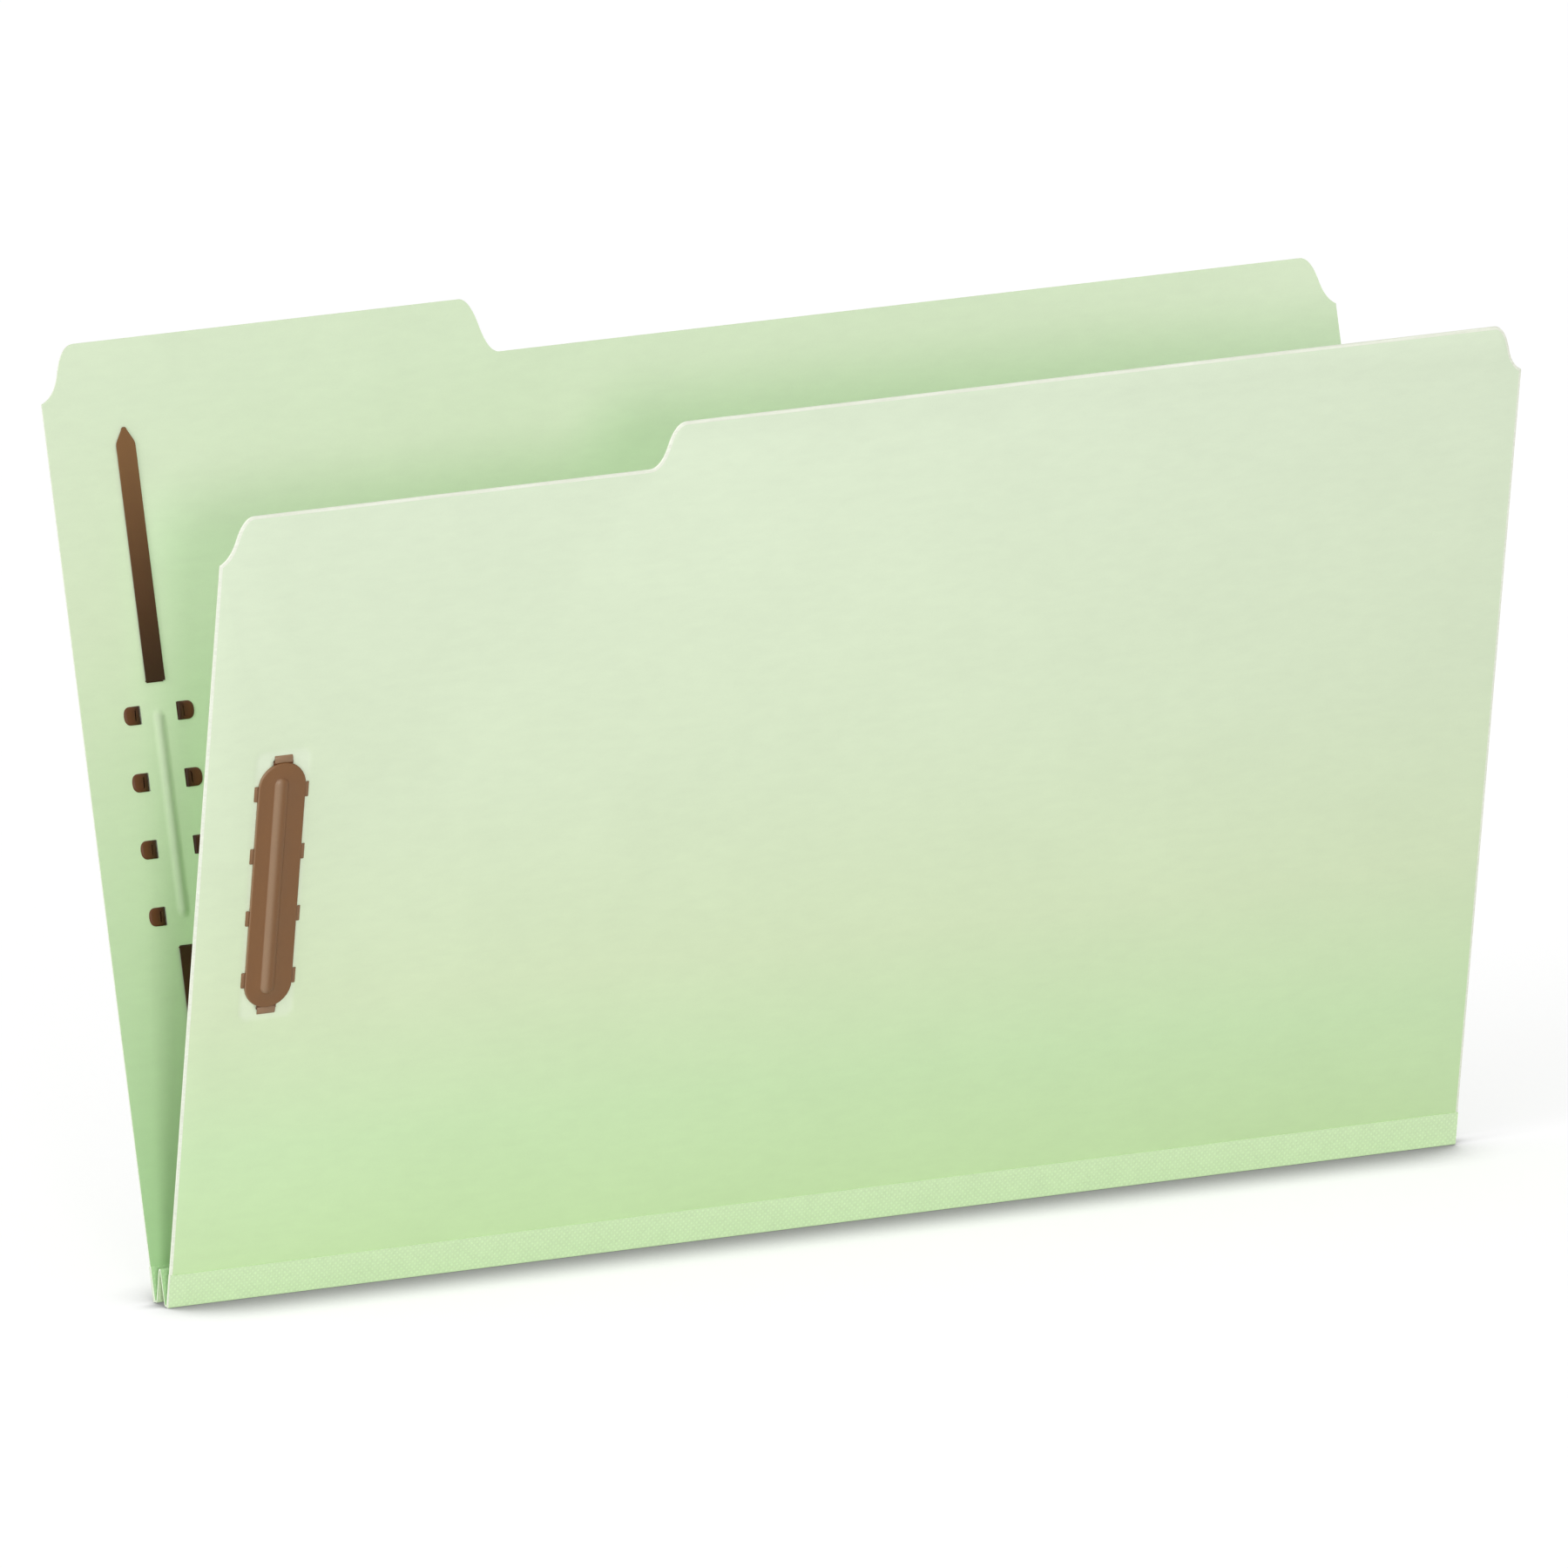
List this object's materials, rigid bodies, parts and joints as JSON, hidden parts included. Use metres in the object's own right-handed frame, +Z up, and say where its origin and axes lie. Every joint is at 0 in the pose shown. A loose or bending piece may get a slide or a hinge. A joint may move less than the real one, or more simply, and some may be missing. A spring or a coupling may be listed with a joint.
{
  "type": "pressboard fastener folder",
  "caption": "Legal-size pressboard folder with a tape pleat spine, a tab at the left of its rear cover and a bendable prong fastener in each cover.",
  "frame": {"origin": "middle of the space that the open folder takes up, at the height of the surface that its spine stands on", "axes": "+X along the spine towards the end without the tab, +Y towards the rear cover, +Z up"},
  "size_m": [0.3746, 0.1198, 0.2443],
  "materials": {
    "pressboard": "matte",
    "spine_tape": "matte",
    "brown_metal": "satin"
  },
  "bodies": {
    "rear_cover": {"rear_cover": "pressboard", "rear_outer_tape_band": "spine_tape", "rear_inner_tape_band": "spine_tape", "rear_fastener_plate": "brown_metal", "rear_prong_strip": "brown_metal"},
    "rear_pleat_leg": {"rear_pleat_inner_tape": "spine_tape", "rear_pleat_outer_tape": "spine_tape"},
    "front_pleat_leg": {"front_pleat_inner_tape": "spine_tape", "front_pleat_outer_tape": "spine_tape"},
    "front_cover": {"front_cover": "pressboard", "front_outer_tape_band": "spine_tape", "front_inner_tape_band": "spine_tape", "front_fastener_plate": "brown_metal", "front_prong_strip": "brown_metal"},
    "rear_upper_prong": {"rear_upper_prong": "brown_metal"},
    "rear_lower_prong": {"rear_lower_prong": "brown_metal"},
    "front_upper_prong": {"front_upper_prong": "brown_metal"},
    "front_lower_prong": {"front_lower_prong": "brown_metal"}
  },
  "joints": [
    {"name": "rear_crease", "type": "hinge", "parent": "rear_cover", "child": "rear_pleat_leg", "pos_m": [0, 0.00141, 0.00023], "axis": [1, 0, 0], "range_deg": [-24.4, 153.6]},
    {"name": "pleat_crease", "type": "hinge", "parent": "rear_pleat_leg", "child": "front_pleat_leg", "pos_m": [0, -0.00169, 0.00906], "axis": [1, 0, 0], "range_deg": [-153.6, 24.4]},
    {"name": "front_crease", "type": "hinge", "parent": "front_pleat_leg", "child": "front_cover", "pos_m": [0, -0.00479, 0.00023], "axis": [1, 0, 0], "range_deg": [-24.4, 153.6]},
    {"name": "rear_upper_prong_bend", "type": "hinge", "parent": "rear_cover", "child": "rear_upper_prong", "pos_m": [-0.16523, 0.03823, 0.15701], "axis": [1, 0, 0], "range_deg": [0, 170]},
    {"name": "rear_lower_prong_bend", "type": "hinge", "parent": "rear_cover", "child": "rear_lower_prong", "pos_m": [-0.16523, 0.02228, 0.08901], "axis": [-1, 0, 0], "range_deg": [0, 12]},
    {"name": "front_upper_prong_bend", "type": "hinge", "parent": "front_cover", "child": "front_upper_prong", "pos_m": [-0.16523, -0.03978, 0.14923], "axis": [-1, 0, 0], "range_deg": [0, 170]},
    {"name": "front_lower_prong_bend", "type": "hinge", "parent": "front_cover", "child": "front_lower_prong", "pos_m": [-0.16523, -0.02383, 0.08122], "axis": [1, 0, 0], "range_deg": [0, 12]}
  ],
  "couplings": [
    {"joint": "pleat_crease", "follows": "rear_crease", "ratio": -1},
    {"joint": "front_crease", "follows": "rear_crease", "ratio": 1}
  ]
}
